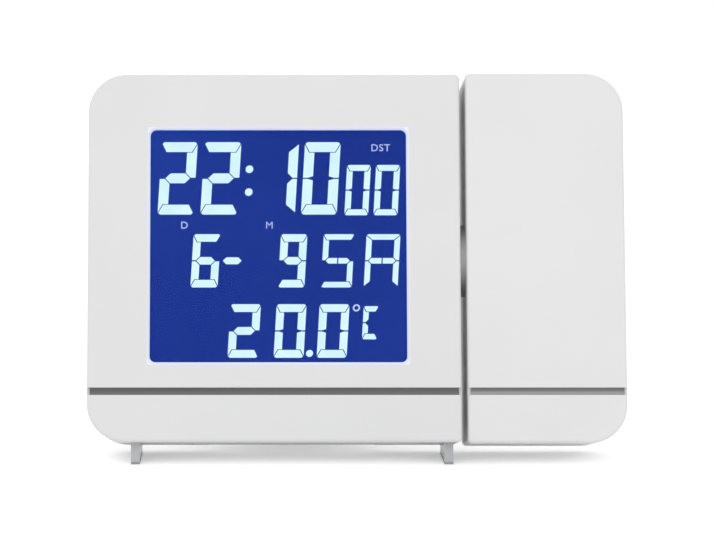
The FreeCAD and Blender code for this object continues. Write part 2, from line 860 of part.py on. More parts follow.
frame = Piece("display_frame")
frame.add(
    "front", WINDOW_BACK, BOARD_FRONT,
    rectangle(
        GLASS_LEFT - D.display_frame_wall, GLASS_RIGHT + D.display_frame_wall,
        GLASS_BOTTOM - D.display_frame_wall, GLASS_TOP + D.display_frame_wall,
    ),
)
frame.cut("front", WINDOW_BACK, BOARD_FRONT, rectangle(GLASS_LEFT, GLASS_RIGHT, GLASS_BOTTOM, GLASS_TOP))
frame.stand()

glass = Piece("lcd_glass")
glass.add("front", GLASS_FRONT, GUIDE_FRONT, rectangle(GLASS_LEFT, GLASS_RIGHT, GLASS_BOTTOM, GLASS_TOP))
glass.stand()

guide = Piece("light_guide")
guide.add(
    "front", GUIDE_FRONT, GUIDE_BACK,
    rectangle(GLASS_LEFT, GLASS_RIGHT - 3.0, OPENING[2] - 0.5, OPENING[3] + 0.5),
)
guide.stand()

strips = [
    block(GLASS_LEFT + 2.0, GLASS_RIGHT - 2.0, GUIDE_FRONT, BOARD_FRONT, low, low + 2.0)
    for low in (GLASS_BOTTOM + 0.6, GLASS_TOP - 2.3)
]
group("contact_strips", strips)

lamps = [
    block(GLASS_RIGHT - 2.9, GLASS_RIGHT - 0.9, GUIDE_FRONT + 0.4, BOARD_FRONT, z - 1.5, z + 1.5)
    for z in (size(35.0), size(58.0), size(81.0))
]
group("backlight_lamps", lamps)

board = Piece("main_board")
board.add("front", BOARD_FRONT, BOARD_BACK, rectangle(BOARD_LEFT, BOARD_RIGHT, BOARD_BOTTOM, BOARD_TOP, 1.0))
board.cut(
    "front", BOARD_FRONT, BOARD_BACK,
    *[Round(x, z, D.screw_radius + D.fit_gap) for x, z in BOARD_SCREWS],
)
board.stand()


def screw(x, z, tip, seat, head_height, head_radius):
    """A pan-head screw along Y: shank from its tip to the seat, head behind the seat."""
    shank = cylinder("y", x, z, tip, seat, D.screw_radius)
    return joined(shank, cylinder("y", x, z, seat, seat + head_height, head_radius))


def case_screw(x, z):
    """A screw that holds two shells together, with a cross slot, seated in the rear post."""
    seat = D.parting_depth + 4
    top = seat + 1.6
    reach = D.screw_head_radius * 0.6
    slots = [
        block(x - reach, x + reach, top - 1.0, top + 0.1, z - 0.25, z + 0.25),
        block(x - 0.25, x + 0.25, top - 1.0, top + 0.1, z - reach, z + reach),
    ]
    whole = screw(x, z, size(6.0), seat, size(1.6), D.screw_head_radius)
    return minus(whole, joined(*slots))


group(
    "board_screws",
    [screw(x, z, size(4.2), BOARD_BACK, size(1.2), D.board_screw_head_radius) for x, z in BOARD_SCREWS],
)
group("case_screws", [case_screw(x, z) for x, z in CASE_SCREWS])
group("arm_screws", [case_screw(x, z) for x, z in ARM_SCREWS])

# Snooze key along the top and its switch

snooze = Piece("snooze_key")
snooze.add(
    "plan", TOP - D.wall, TOP + D.snooze_proud,
    rectangle(SNOOZE_LEFT, SNOOZE_RIGHT, SNOOZE_FRONT, SNOOZE_BACK, D.snooze_corner),
)
snooze.round_edges(0.2, in_plane("z", (TOP + D.snooze_proud).value))
snooze.add(
    "plan", TOP - D.wall - 1.2, TOP - D.wall,
    rectangle(
        SNOOZE_LEFT - D.snooze_flange, SNOOZE_RIGHT + D.snooze_flange,
        SNOOZE_FRONT - D.snooze_flange, SNOOZE_BACK + D.snooze_flange, 1.0,
    ),
)
SNOOZE_X = (SNOOZE_LEFT + SNOOZE_RIGHT) / 2
SWITCH_Z = BOARD_TOP - 0.5
snooze.add(
    "plan", SWITCH_Z + D.snooze_travel + 0.3, TOP - D.wall - 1.2,
    rectangle(SNOOZE_X - 2.5, SNOOZE_X + 2.5, BOARD_BACK + 0.8, BOARD_BACK + 3.2),
)
snooze.stand()

switch = Piece("snooze_switch")
switch.add(
    "front", BOARD_BACK, BOARD_BACK + 4.0,
    rectangle(SNOOZE_X - 3.0, SNOOZE_X + 3.0, SWITCH_Z - 6.0, SWITCH_Z - 0.7),
)
switch.add(
    "plan", SWITCH_Z - 0.7, SWITCH_Z, Round(SNOOZE_X, BOARD_BACK + 2.0, 1.4)
)
switch.stand()

# The rear keys and sliders on their board

for label, x in zip(("set_key", "up_key", "down_key", "alarm_key", "light_key"), KEY_XS):
    key = Piece(label)
    key.add("front", INNER_BACK, BACK + D.key_proud, Round(x, KEY_Z, D.key_radius))
    key.round_edges(D.key_edge, in_plane("y", (BACK + D.key_proud).value), "PartDesign::Chamfer")
    key.add("front", KEY_FLANGE_FRONT, INNER_BACK, Round(x, KEY_Z, D.key_radius + D.key_flange))
    key.stand()

for label, x in zip(("alarm_slider", "beam_slider"), SLIDER_XS):
    slider = Piece(label)
    slider.add(
        "front", INNER_BACK, BACK + 0.8,
        rectangle(
            x - D.slider_half_width, x + D.slider_half_width,
            KEY_Z - D.slider_half_height, KEY_Z + D.slider_half_height,
        ),
    )
    slider.cut(
        "front", BACK + 0.3, BACK + 0.8,
        *[rectangle(x + dx - 0.3, x + dx + 0.3, KEY_Z - 1.6, KEY_Z + 1.6) for dx in (-1.4, 0, 1.4)],
    )
    slider.add("front", KEY_FLANGE_FRONT, INNER_BACK, rectangle(x - 4.2, x + 4.2, KEY_Z - 3.0, KEY_Z + 3.0))
    slider.stand()

key_board = Piece("key_board")
key_board.add(
    "front", KEY_BOARD_FRONT, KEY_BOARD_BACK,
    rectangle(KEY_BOARD_LEFT, KEY_BOARD_RIGHT + 1.0, KEY_BOARD_BOTTOM, KEY_BOARD_TOP, 1.0),
)
key_board.cut(
    "front", KEY_BOARD_FRONT, KEY_BOARD_BACK,
    *[Round(x, z, D.small_screw_radius + D.fit_gap) for x, z in KEY_BOARD_SCREWS],
)
key_board.stand()

switches = []
for x in KEY_XS:
    housing = block(x - 3, x + 3, KEY_BOARD_BACK, SWITCH_TOP - 0.6, KEY_Z - 3, KEY_Z + 3)
    switches.append(joined(housing, cylinder("y", x, KEY_Z, SWITCH_TOP - 0.6, SWITCH_TOP, 1.5)))
for x in SLIDER_XS:
    switches.append(block(x - 3, x + 6, KEY_BOARD_BACK, KEY_FLANGE_FRONT - 0.3, KEY_Z - 2, KEY_Z + 2))
group("key_switches", switches)

key_screws = []
for x, z in KEY_BOARD_SCREWS:
    shank = cylinder("y", x, z, KEY_BOARD_FRONT, INNER_BACK - 1.0, D.small_screw_radius)
    head = cylinder("y", x, z, KEY_BOARD_FRONT - 1.0, KEY_BOARD_FRONT, 1.8)
    key_screws.append(joined(shank, head))
group("key_board_screws", key_screws)

# Batteries, their contacts and the door

CELL_ZS = [BAY_BOTTOM + 0.3 + D.cell_pitch * (n + 0.5) for n in range(3)]
CELL_LEFT = BAY_LEFT + 5.6
cells = []
plates = []
springs = []
for z in CELL_ZS:
    can = cylinder("x", CELL_Y, z, CELL_LEFT, CELL_LEFT + D.cell_length - 1, D.cell_radius)
    cap = cylinder("x", CELL_Y, z, CELL_LEFT + D.cell_length - 1, CELL_LEFT + D.cell_length, 1.9)
    cells.append(joined(can, cap))
    sides = (CELL_Y - D.contact_half, CELL_Y + D.contact_half, z - D.contact_half, z + D.contact_half)
    plates.append(block(BAY_RIGHT - D.contact_thickness, BAY_RIGHT, *sides))
    plate = block(BAY_LEFT, BAY_LEFT + D.contact_thickness, *sides)
    turns = []
    for n in range(4):
        start = BAY_LEFT + 0.9 + 1.2 * n
        turns.append(cylinder("x", CELL_Y, z, start, start + 0.6, 3.6 - 0.4 * n))
    core = cylinder("x", CELL_Y, z, BAY_LEFT + D.contact_thickness, BAY_LEFT + 5.3, 1.8)
    springs.append(joined(plate, core, *turns))
group("battery_cells", cells)
group("contact_plates", plates)
group("contact_springs", springs)

door = Piece("battery_door")
door.add(
    "front", INNER_BACK, BACK,
    rectangle(BAY_LEFT + D.fit_gap, BAY_RIGHT - D.fit_gap, DOOR_Z, BAY_TOP - D.fit_gap),
)
door.turn(
    "x", DOOR_Y, DOOR_Z,
    rectangle(BAY_LEFT + D.fit_gap, BAY_RIGHT - D.fit_gap, size(0), D.door_thickness / 2),
)
door.turn("x", DOOR_Y, DOOR_Z, rectangle(BAY_LEFT - 1.4, BAY_RIGHT + 1.4, size(0), D.door_pin_radius))
door.cut(
    "front", BACK - 0.8, BACK,
    rectangle(
        (BAY_LEFT + BAY_RIGHT) / 2 - 8.0, (BAY_LEFT + BAY_RIGHT) / 2 + 8.0, BAY_TOP - 4.2, BAY_TOP - 2.6, 0.7
    ),
)
door.stand()

# Fin feet and their pads: cut off where the ground passes under the leaning case

foot_pads = []
for label, x in (("foot_left", FOOT_LEFT_X), ("foot_right", FOOT_RIGHT_X)):
    half = D.foot_width / 2
    foot = Piece(label)
    foot.add(
        "side", x - half, x + half,
        polygon(
            (FOOT_FRONT, D.wall),
            (FOOT_FRONT, ground_at(FOOT_FRONT) + D.foot_pad_height),
            (FOOT_BACK, ground_at(FOOT_BACK) + D.foot_pad_height),
            (FOOT_BACK, D.wall),
        ),
    )
    foot.add(
        "plan", D.wall, D.wall + 1.5,
        rectangle(x - half - 0.1, x + half + 0.1, FOOT_FRONT - 1.0, FOOT_BACK + 1.0),
    )
    foot.stand()
    pad = Piece(label.replace("foot", "pad"))
    pad.add(
        "side", x - half, x + half,
        polygon(
            (FOOT_FRONT, ground_at(FOOT_FRONT) + D.foot_pad_height),
            (FOOT_FRONT, ground_at(FOOT_FRONT)),
            (FOOT_BACK, ground_at(FOOT_BACK)),
            (FOOT_BACK, ground_at(FOOT_BACK) + D.foot_pad_height),
        ),
    )
    foot_pads.append(parts.pop(pad.body.Label))

group("foot_pads", foot_pads)

# The fold-out stand, drawn folded with its hinge at the origin and placed swung out

HEEL = D.stand_recess - (BACK - STAND_Y) - 0.05
HEEL_LENGTH = size(1.3)
OPEN = D.stand_open_angle
PLATE_END = stand_ground_at(-PAD_HALF) - 3.0
BOTTOM_HALF = STAND_HALF - D.stand_taper
stand = Piece("stand")
stand.add(
    "front", -D.stand_thickness / 2, D.stand_thickness / 2,
    polygon(
        (STAND_X - STAND_HALF, size(0)),
        (STAND_X - BOTTOM_HALF, -PLATE_END),
        (STAND_X + BOTTOM_HALF, -PLATE_END),
        (STAND_X + STAND_HALF, size(0)),
    ),
)
stand.turn(
    "x", size(0), size(0),
    rectangle(STAND_X - STAND_HALF, STAND_X + STAND_HALF, size(0), D.hinge_radius),
)
stand.add(
    "side", STAND_X - STAND_HALF, STAND_X + STAND_HALF,
    polygon(
        (size(0), size(0)),
        (-HEEL * cosine(OPEN), HEEL * sine(OPEN)),
        (-HEEL * cosine(OPEN) + HEEL_LENGTH * sine(OPEN), HEEL * sine(OPEN) + HEEL_LENGTH * cosine(OPEN)),
        (size(0), D.hinge_radius),
    ),
)
stand.cut(
    "side", STAND_X - STAND_HALF, STAND_X + STAND_HALF,
    Round(size(0), size(0), D.pin_radius + D.running_gap),
)
stand.cut(
    "front", D.stand_thickness / 2 - 0.7, D.stand_thickness / 2,
    polygon(
        (STAND_X - STAND_HALF + 5.0, size(-6.0), 2.0),
        (STAND_X - BOTTOM_HALF + 4.6, 5.0 - PLATE_END, 2.0),
        (STAND_X + BOTTOM_HALF - 4.6, 5.0 - PLATE_END, 2.0),
        (STAND_X + STAND_HALF - 5.0, size(-6.0), 2.0),
    ),
)
stand_pad = Piece("stand_pad")
stand_pad.add(
    "side", STAND_X - BOTTOM_HALF, STAND_X + BOTTOM_HALF,
    polygon(
        (-PAD_HALF, -PLATE_END),
        (-PAD_HALF, -stand_ground_at(-PAD_HALF)),
        (PAD_HALF, -stand_ground_at(PAD_HALF)),
        (PAD_HALF, -PLATE_END),
    ),
)
for piece in (stand, stand_pad):
    place(piece.body, SHIFT + AXIS_Y, LIFT + AXIS_Z, 1, STAND_TILT)

pin = Piece("stand_pin")
pin.turn("x", STAND_Y, STAND_Z, rectangle(RECESS_LEFT - 2.4, RECESS_RIGHT + 2.4, size(0), D.pin_radius))
pin.stand()

# Radio antenna, buzzer, sensor and power inlet

rod = Piece("antenna_rod")
rod.turn(
    "x", ANTENNA_Y, ANTENNA_Z,
    rectangle(ANTENNA_LEFT, ANTENNA_LEFT + D.antenna_length, size(0), D.antenna_radius),
)
rod.stand()
coil = Piece("antenna_coil")
coil.turn(
    "x", ANTENNA_Y, ANTENNA_Z,
    rectangle(STAND_X - 14.0, STAND_X + 14.0, D.antenna_radius, D.antenna_radius + 0.9),
)
coil.stand()
buzzer = Piece("buzzer")
buzzer.turn("y", BUZZER_X, BUZZER_Z, rectangle(size(0), D.buzzer_radius, INNER_BACK - 7.0, INNER_BACK))
buzzer.stand()
sensor = Piece("temperature_sensor")
sensor.add(
    "front", INNER_BACK - 2.4, INNER_BACK,
    rectangle(SENSOR_X - 1.5, SENSOR_X + 1.5, SENSOR_Z - 4.6, SENSOR_Z + 2.0, 0.8),
)
sensor.stand()
inlet = Piece("power_inlet")
inlet.add(
    "front", INNER_BACK - 6.0, BACK - 0.4,
    rectangle(*INLET_SIDES, 1.2),
)
inlet.cut(
    "front", INNER_BACK - 3.0, BACK - 0.4,
    rectangle(INLET_X - 4.2, INLET_X + 4.2, INLET_Z - 1.4, INLET_Z + 1.4, 0.9),
)
inlet.add(
    "front", INNER_BACK - 3.0, BACK - 1.0,
    rectangle(INLET_X - 3.3, INLET_X + 3.3, INLET_Z - 0.35, INLET_Z + 0.35),
)
inlet.stand()

# The swivel between case and arm

SHAFT_START = RIGHT - D.wall - 3.8
RING_RIGHT = RIGHT - D.wall - 1.6
RING_LEFT = RING_RIGHT - D.ring_width
SHAFT_END = ARM_LEFT + D.wall + 4.0
bush = Piece("swivel_bush")
bush.turn(
    "x", HUB_Y, HUB_Z,
    polygon(
        (RIGHT - D.wall - 1.5, D.shaft_radius + D.running_gap),
        (RIGHT, D.shaft_radius + D.running_gap),
        (RIGHT, D.bush_radius),
        (RIGHT - D.wall, D.bush_radius),
        (RIGHT - D.wall, D.bush_flange_radius),
        (RIGHT - D.wall - 1.5, D.bush_flange_radius),
    ),
)
bush.stand()
shaft = Piece("swivel_shaft")
shaft.turn(
    "x", HUB_Y, HUB_Z,
    polygon(
        (SHAFT_START, D.shaft_bore),
        (SHAFT_END, D.shaft_bore),
        (SHAFT_END, D.shaft_radius),
        (ARM_LEFT + D.wall + 2.0, D.shaft_radius),
        (ARM_LEFT + D.wall + 2.0, D.bush_flange_radius),
        (ARM_LEFT + D.wall, D.bush_flange_radius),
        (ARM_LEFT + D.wall, D.shaft_radius),
        (RING_RIGHT, D.shaft_radius),
        (RING_RIGHT, D.shaft_radius - D.ring_groove),
        (RING_LEFT, D.shaft_radius - D.ring_groove),
        (RING_LEFT, D.shaft_radius),
        (SHAFT_START, D.shaft_radius),
    ),
)
shaft.stand()
washer = Piece("swivel_washer")
washer.turn("x", HUB_Y, HUB_Z, rectangle(RIGHT + 0.1, ARM_LEFT, D.shaft_radius, D.hub_radius))
washer.stand()
ring = Piece("retaining_ring")
ring.turn(
    "x", HUB_Y, HUB_Z,
    rectangle(RING_LEFT, RING_RIGHT, D.shaft_radius - D.ring_groove, D.shaft_radius + 2.4),
)
ring.stand()

CABLE_END = ARM_LEFT + 11.0
CONNECTOR_RIGHT = BOARD_RIGHT - 0.8
elbow = doc.addObject("Part::Sphere", "elbow")
set_bound(elbow, "Radius", D.cable_radius)
for letter, value in zip("xyz", (CABLE_END, HUB_Y, HUB_Z)):
    set_bound(elbow, f"Placement.Base.{letter}", value)
lead = joined(
    cylinder("x", HUB_Y, HUB_Z, CONNECTOR_RIGHT + 0.1, CABLE_END, D.cable_radius),
    elbow,
    cylinder("z", CABLE_END, HUB_Y, D.tube_bottom, HUB_Z, D.cable_radius),
)
group("swivel_cable", [lead])
connector = Piece("cable_connector")
connector.add(
    "front", BOARD_BACK, BOARD_BACK + 5.5,
    rectangle(CONNECTOR_RIGHT - 4.5, CONNECTOR_RIGHT, HUB_Z - 4.0, HUB_Z + 4.0),
)
connector.stand()

# Shells of the projector arm

FLIP_X = ARM_RIGHT - 8.0
FLIP_Z = HUB_Z
CAGE_HALF = size(13.9)
COVER_RADIUS = size(8.3)


def optic_ribs(shell, start, end):
    """Ribs that hold the tube and cage the focus wheel, and the ledge under the projector board."""
    for low, high, half, hole in (
        (TUBE_TOP, D.wheel_height - 0.1, CAGE_HALF, D.barrel_radius + 0.4),
        (WHEEL_TOP + 0.1, WHEEL_TOP + 1.6, CAGE_HALF, D.barrel_radius + 0.4),
        (D.tube_bottom + 12.0, D.tube_bottom + 13.5, TUBE_RADIUS + 1.8, TUBE_RADIUS),
    ):
        shell.add("plan", low, high, rectangle(OPTIC_X - half, OPTIC_X + half, start, end))
        shell.cut("plan", low, high, Round(OPTIC_X, OPTIC_Y, hole))
    ledge = D.tube_bottom - D.board_thickness
    shell.add("plan", ledge - 2.0, ledge, rectangle(OPTIC_X - 7.0, OPTIC_X + 7.0, start, end))


def lens_opening(shell):
    """The round opening at the top of the arm, where the beam leaves."""
    shell.cut("plan", ARM_TOP - D.wall, ARM_TOP + 1, Round(OPTIC_X, OPTIC_Y, LENS_BORE))


arm_front = front_half("arm_front_shell", arm_outline)
front_posts(arm_front, ARM_SCREWS)
optic_ribs(arm_front, D.wall, D.parting_depth)
lens_opening(arm_front)
hub_hole(arm_front, D.shaft_radius, ARM_LEFT - 1, ARM_LEFT + D.wall)
band_groove(arm_front, ARM_LEFT, ARM_RIGHT)
arm_front.stand()

arm_rear = rear_half("arm_rear_shell", arm_outline)
rear_posts(arm_rear, ARM_SCREWS)
optic_ribs(arm_rear, D.parting_depth, INNER_BACK)
lens_opening(arm_rear)
hub_hole(arm_rear, D.shaft_radius, ARM_LEFT - 1, ARM_LEFT + D.wall)
arm_rear.cut(
    "plan", D.wheel_height - 0.1, WHEEL_TOP + 0.1,
    rectangle(OPTIC_X - 8.9, OPTIC_X + 8.9, INNER_BACK - 2, BACK + 1),
)
arm_rear.cut("front", INNER_BACK, BACK, Round(FLIP_X, FLIP_Z, D.key_radius + D.fit_gap))
for z in (FLIP_Z - 8.0, FLIP_Z + 8.0):
    arm_rear.add(
        "front", KEY_BOARD_BACK, INNER_BACK,
        rectangle(FLIP_X - 4.5, ARM_RIGHT - D.wall, z - 1.2, z + 1.2),
    )
    arm_rear.add(
        "front", KEY_BOARD_FRONT - 1.2, KEY_BOARD_BACK,
        rectangle(FLIP_X + 4.4, ARM_RIGHT - D.wall, z - 1.2, z + 1.2),
    )
arm_rear.stand()

# Projector optics

tube = Piece("optic_tube")
tube.turn("z", OPTIC_X, OPTIC_Y, rectangle(BARREL_BORE, TUBE_RADIUS, D.tube_bottom, TUBE_TOP))
tube.stand()
lens = Piece("projection_lens")
lens.turn(
    "z", OPTIC_X, OPTIC_Y,
    rectangle(size(0), D.lens_radius, BARREL_TOP - 5.0, BARREL_TOP - 1.5),
)
lens.stand()
barrel = Piece("lens_barrel")
barrel.turn(
    "z", OPTIC_X, OPTIC_Y,
    polygon(
        (D.lens_radius - 0.8, BARREL_BOTTOM),
        (D.barrel_radius, BARREL_BOTTOM),
        (D.barrel_radius, BARREL_TOP),
        (D.lens_radius, BARREL_TOP),
        (D.lens_radius, BARREL_TOP - 5.0),
        (D.lens_radius - 0.8, BARREL_TOP - 5.0),
    ),
)
barrel.stand()
wheel = Piece("focus_wheel")
wheel.turn("z", OPTIC_X, OPTIC_Y, rectangle(BARREL_BORE, D.wheel_radius, D.wheel_height, WHEEL_TOP))
NOTCHES = 30
drawn = wheel.sketch(
    "XY_Plane", (0, 0, D.wheel_height), [Round(OPTIC_X, OPTIC_Y + D.wheel_radius + 0.25, D.knurl_radius)]
)
groove = wheel.body.newObject("PartDesign::Pocket", "knurl_groove")
groove.Profile = drawn
groove.Reversed = True
set_bound(groove, "Length", D.wheel_width)
wheel.finish(groove, "cut")
drawn.Visibility = False
axis = wheel.sketch("XY_Plane", (OPTIC_X, OPTIC_Y, 0), [])
doc.recompute()
knurl = wheel.body.newObject("PartDesign::PolarPattern", "knurl")
knurl.Originals = [groove]
knurl.Axis = (axis, ["N_Axis"])
knurl.Angle = 360
wheel.body.Tip = knurl
knurl.Occurrences = NOTCHES
wheel.finish(knurl, "cut")
wheel.stand()
slide = Piece("image_slide")
slide.turn("z", OPTIC_X, OPTIC_Y, rectangle(size(0), BARREL_BORE, D.tube_bottom + 22.0, D.tube_bottom + 24.0))
slide.stand()
condenser = Piece("condenser_lens")
condenser.turn(
    "z", OPTIC_X, OPTIC_Y,
    rectangle(size(0), BARREL_BORE, D.tube_bottom + 9.0, D.tube_bottom + 12.0),
)
condenser.stand()
lamp = Piece("projector_lamp")
lamp.turn("z", OPTIC_X, OPTIC_Y, rectangle(size(0), size(2.5), D.tube_bottom, D.tube_bottom + 4.0))
lamp.stand()
lamp_board = Piece("projector_board")
lamp_board.add(
    "plan", D.tube_bottom - D.board_thickness, D.tube_bottom,
    rectangle(ARM_LEFT + 4.0, ARM_RIGHT - 4.0, D.wall + 2.0, INNER_BACK - 2.0, 1.0),
)
lamp_board.stand()
cover = Piece("lens_cover")
cover.turn(
    "z", OPTIC_X, OPTIC_Y,
    polygon(
        (size(0), ARM_TOP - D.wall - 1.2),
        (COVER_RADIUS, ARM_TOP - D.wall - 1.2),
        (COVER_RADIUS, ARM_TOP - D.wall),
        (LENS_BORE, ARM_TOP - D.wall),
        (LENS_BORE, ARM_TOP - 0.4),
        (size(0), ARM_TOP - 0.4),
    ),
)
cover.stand()

flip_key = Piece("flip_key")
flip_key.add("front", INNER_BACK, BACK + D.key_proud, Round(FLIP_X, FLIP_Z, D.key_radius))
flip_key.round_edges(D.key_edge, in_plane("y", (BACK + D.key_proud).value), "PartDesign::Chamfer")
flip_key.add("front", KEY_FLANGE_FRONT, INNER_BACK, Round(FLIP_X, FLIP_Z, D.key_radius + D.key_flange))
flip_key.stand()
flip_board = Piece("flip_board")
flip_board.add(
    "front", KEY_BOARD_FRONT, KEY_BOARD_BACK,
    rectangle(FLIP_X - 4.5, FLIP_X + 4.4, FLIP_Z - 10.0, FLIP_Z + 10.0),
)
flip_board.add(
    "front", KEY_BOARD_BACK, SWITCH_TOP - 0.6,
    rectangle(FLIP_X - 3.0, FLIP_X + 3.0, FLIP_Z - 3.0, FLIP_Z + 3.0),
)
flip_board.add("front", SWITCH_TOP - 0.6, SWITCH_TOP, Round(FLIP_X, FLIP_Z, 1.5))
flip_board.stand()

# Check every object, then write one STEP file per piece

doc.recompute()
os.makedirs("parts", exist_ok=True)
for thing in doc.Objects:
    if "Invalid" in thing.State or "Error" in thing.State:
        raise RuntimeError(f"{thing.Name} is in state {thing.State}")
for label, piece in parts.items():
    shape = piece.Shape
    if shape.isNull() or not shape.isValid():
        raise RuntimeError(f"{label} has no valid shape")
for label, piece in parts.items():
    piece.Shape.exportStep(f"parts/{label}.step")
print(len(parts), "pieces written")
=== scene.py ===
import json
import math

import bmesh
import bpy
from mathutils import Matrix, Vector


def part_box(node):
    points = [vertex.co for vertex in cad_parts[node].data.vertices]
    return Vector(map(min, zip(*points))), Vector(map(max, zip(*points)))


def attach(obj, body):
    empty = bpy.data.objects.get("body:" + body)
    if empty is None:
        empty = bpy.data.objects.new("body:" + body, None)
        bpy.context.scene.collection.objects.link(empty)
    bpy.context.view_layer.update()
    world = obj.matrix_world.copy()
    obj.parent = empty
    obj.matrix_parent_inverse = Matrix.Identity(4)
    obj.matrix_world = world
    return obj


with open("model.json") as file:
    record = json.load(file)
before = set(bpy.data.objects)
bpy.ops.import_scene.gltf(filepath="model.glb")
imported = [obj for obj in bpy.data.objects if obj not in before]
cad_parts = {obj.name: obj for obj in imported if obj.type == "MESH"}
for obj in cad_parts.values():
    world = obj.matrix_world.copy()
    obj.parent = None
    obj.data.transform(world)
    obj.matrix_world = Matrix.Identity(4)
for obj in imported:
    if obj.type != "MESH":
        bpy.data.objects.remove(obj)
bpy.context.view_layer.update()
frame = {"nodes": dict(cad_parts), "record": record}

# Points of the upright case are in millimetres: X runs right, Y from the face to the back, and Z up from
# the case's bottom edge. The case leans back about X and is then shifted and lifted onto the ground.
LEAN = math.radians(12.0)
SINE = math.sin(LEAN)
COSINE = math.cos(LEAN)

# The trim band's front face and edges on the upright case, from which the shift and lift follow
BAND_FRONT = 0.2
BAND_BOTTOM = 13.9
BAND_TOP = 16.1

# The display opening on the upright case, and the painted glow of the display's light on the bevel round
# it
WINDOW_LEFT = -61.5
WINDOW_RIGHT = 15.0
WINDOW_BOTTOM = 23.6
WINDOW_TOP = 93.3
RIM_WIDTH = 0.65
RIM_FADE = 0.15
RIM_GLOW = 0.22
RIM_GLOW_BLUE = (0.35, 0.48, 1.0)


def settle_stance():
    """The shift along Y and the lift that bring the leaning trim band to its place."""
    low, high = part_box("case_band")
    shift = low[1] * 1000 - (BAND_FRONT * COSINE + BAND_BOTTOM * SINE)
    lift = high[2] * 1000 - (BAND_TOP * COSINE - BAND_FRONT * SINE)
    return shift, lift


SHIFT, LIFT = settle_stance()


def spot(x, y, z):
    """A point of the upright case, in millimetres, as a point of the leaning part, in metres."""
    return Vector((x, y * COSINE + z * SINE + SHIFT, z * COSINE - y * SINE + LIFT)) / 1000


def upright_height(height):
    """A height on the upright case, in millimetres, as upright_coordinates gives it, in metres."""
    return (height + SINE * SHIFT + COSINE * LIFT) / 1000


def placed(name, data):
    """A new object in the scene that holds the data."""
    thing = bpy.data.objects.new(name, data)
    bpy.context.scene.collection.objects.link(thing)
    return thing


# Node helpers


def grow_tree(name):
    """A new material, its node tree and its shader."""
    material = bpy.data.materials.new(name)
    material.use_nodes = True
    tree = material.node_tree
    return material, tree, tree.nodes["Principled BSDF"]


def upright_coordinates(tree):
    """Object coordinates turned upright with the case, in metres."""
    coordinates = tree.nodes.new("ShaderNodeTexCoord")
    turn = tree.nodes.new("ShaderNodeMapping")
    turn.inputs["Rotation"].default_value = (LEAN, 0, 0)
    tree.links.new(coordinates.outputs["Object"], turn.inputs["Vector"])
    return turn.outputs["Vector"]


def upright_parts(tree):
    """The upright coordinates taken apart into X, Y and Z."""
    parts = tree.nodes.new("ShaderNodeSeparateXYZ")
    tree.links.new(upright_coordinates(tree), parts.inputs["Vector"])
    return parts.outputs


def noise(tree, vector, scale, detail=2.0, roughness=0.5):
    """Soft noise over a vector."""
    texture = tree.nodes.new("ShaderNodeTexNoise")
    texture.inputs["Scale"].default_value = scale
    texture.inputs["Detail"].default_value = detail
    texture.inputs["Roughness"].default_value = roughness
    tree.links.new(vector, texture.inputs["Vector"])
    return texture.outputs["Fac"]


def ramp(tree, value, low, high, start, end):
    """Maps a value between low and high onto start to end."""
    scale = tree.nodes.new("ShaderNodeMapRange")
    scale.inputs["From Min"].default_value = low
    scale.inputs["From Max"].default_value = high
    scale.inputs["To Min"].default_value = start
    scale.inputs["To Max"].default_value = end
    tree.links.new(value, scale.inputs["Value"])
    return scale.outputs["Result"]


def blend_colours(tree, value, first, second):
    """Goes from first, a colour or a socket, to the colour second as the value goes from 0 to 1."""
    mix = tree.nodes.new("ShaderNodeMix")
    mix.data_type = "RGBA"
    if isinstance(first, bpy.types.NodeSocket):
        tree.links.new(first, mix.inputs["A"])
    else:
        mix.inputs["A"].default_value = (*first, 1)
    mix.inputs["B"].default_value = (*second, 1)
    tree.links.new(value, mix.inputs["Factor"])
    return mix.outputs["Result"]


def calculate(tree, operation, first, second=None):
    """Works a value out from a socket and, where there is one, a second socket or a number."""
    node = tree.nodes.new("ShaderNodeMath")
    node.operation = operation
    tree.links.new(first, node.inputs[0])
    if isinstance(second, bpy.types.NodeSocket):
        tree.links.new(second, node.inputs[1])
    elif second is not None:
        node.inputs[1].default_value = second
    return node.outputs[0]


def bump(tree, shader, height, distance, strength=1.0):
    """Raises the surface by a height value, in metres at most."""
    node = tree.nodes.new("ShaderNodeBump")
    node.inputs["Distance"].default_value = distance
    node.inputs["Strength"].default_value = strength
    tree.links.new(height, node.inputs["Height"])
    tree.links.new(node.outputs["Normal"], shader.inputs["Normal"])


# Finishes, with lengths in metres

WEAR_SPREAD = 0.0006
GRAIN_SCALE = 2600.0
GRAIN_DEPTH = 0.00002
PLASTIC_IOR = 1.49
# Fade width of the painted highlight on the trim bands
HIGHLIGHT_FADE = 0.0003


def edge_wear(tree):
    """1 on sharp edges, fading away from them."""
    bevel = tree.nodes.new("ShaderNodeBevel")
    bevel.samples = 4
    bevel.inputs["Radius"].default_value = WEAR_SPREAD
    geometry = tree.nodes.new("ShaderNodeNewGeometry")
    product = tree.nodes.new("ShaderNodeVectorMath")
    product.operation = "DOT_PRODUCT"
    tree.links.new(bevel.outputs["Normal"], product.inputs[0])
    tree.links.new(geometry.outputs["Normal"], product.inputs[1])
    return ramp(tree, product.outputs["Value"], 1.0, 0.8, 0.0, 1.0)


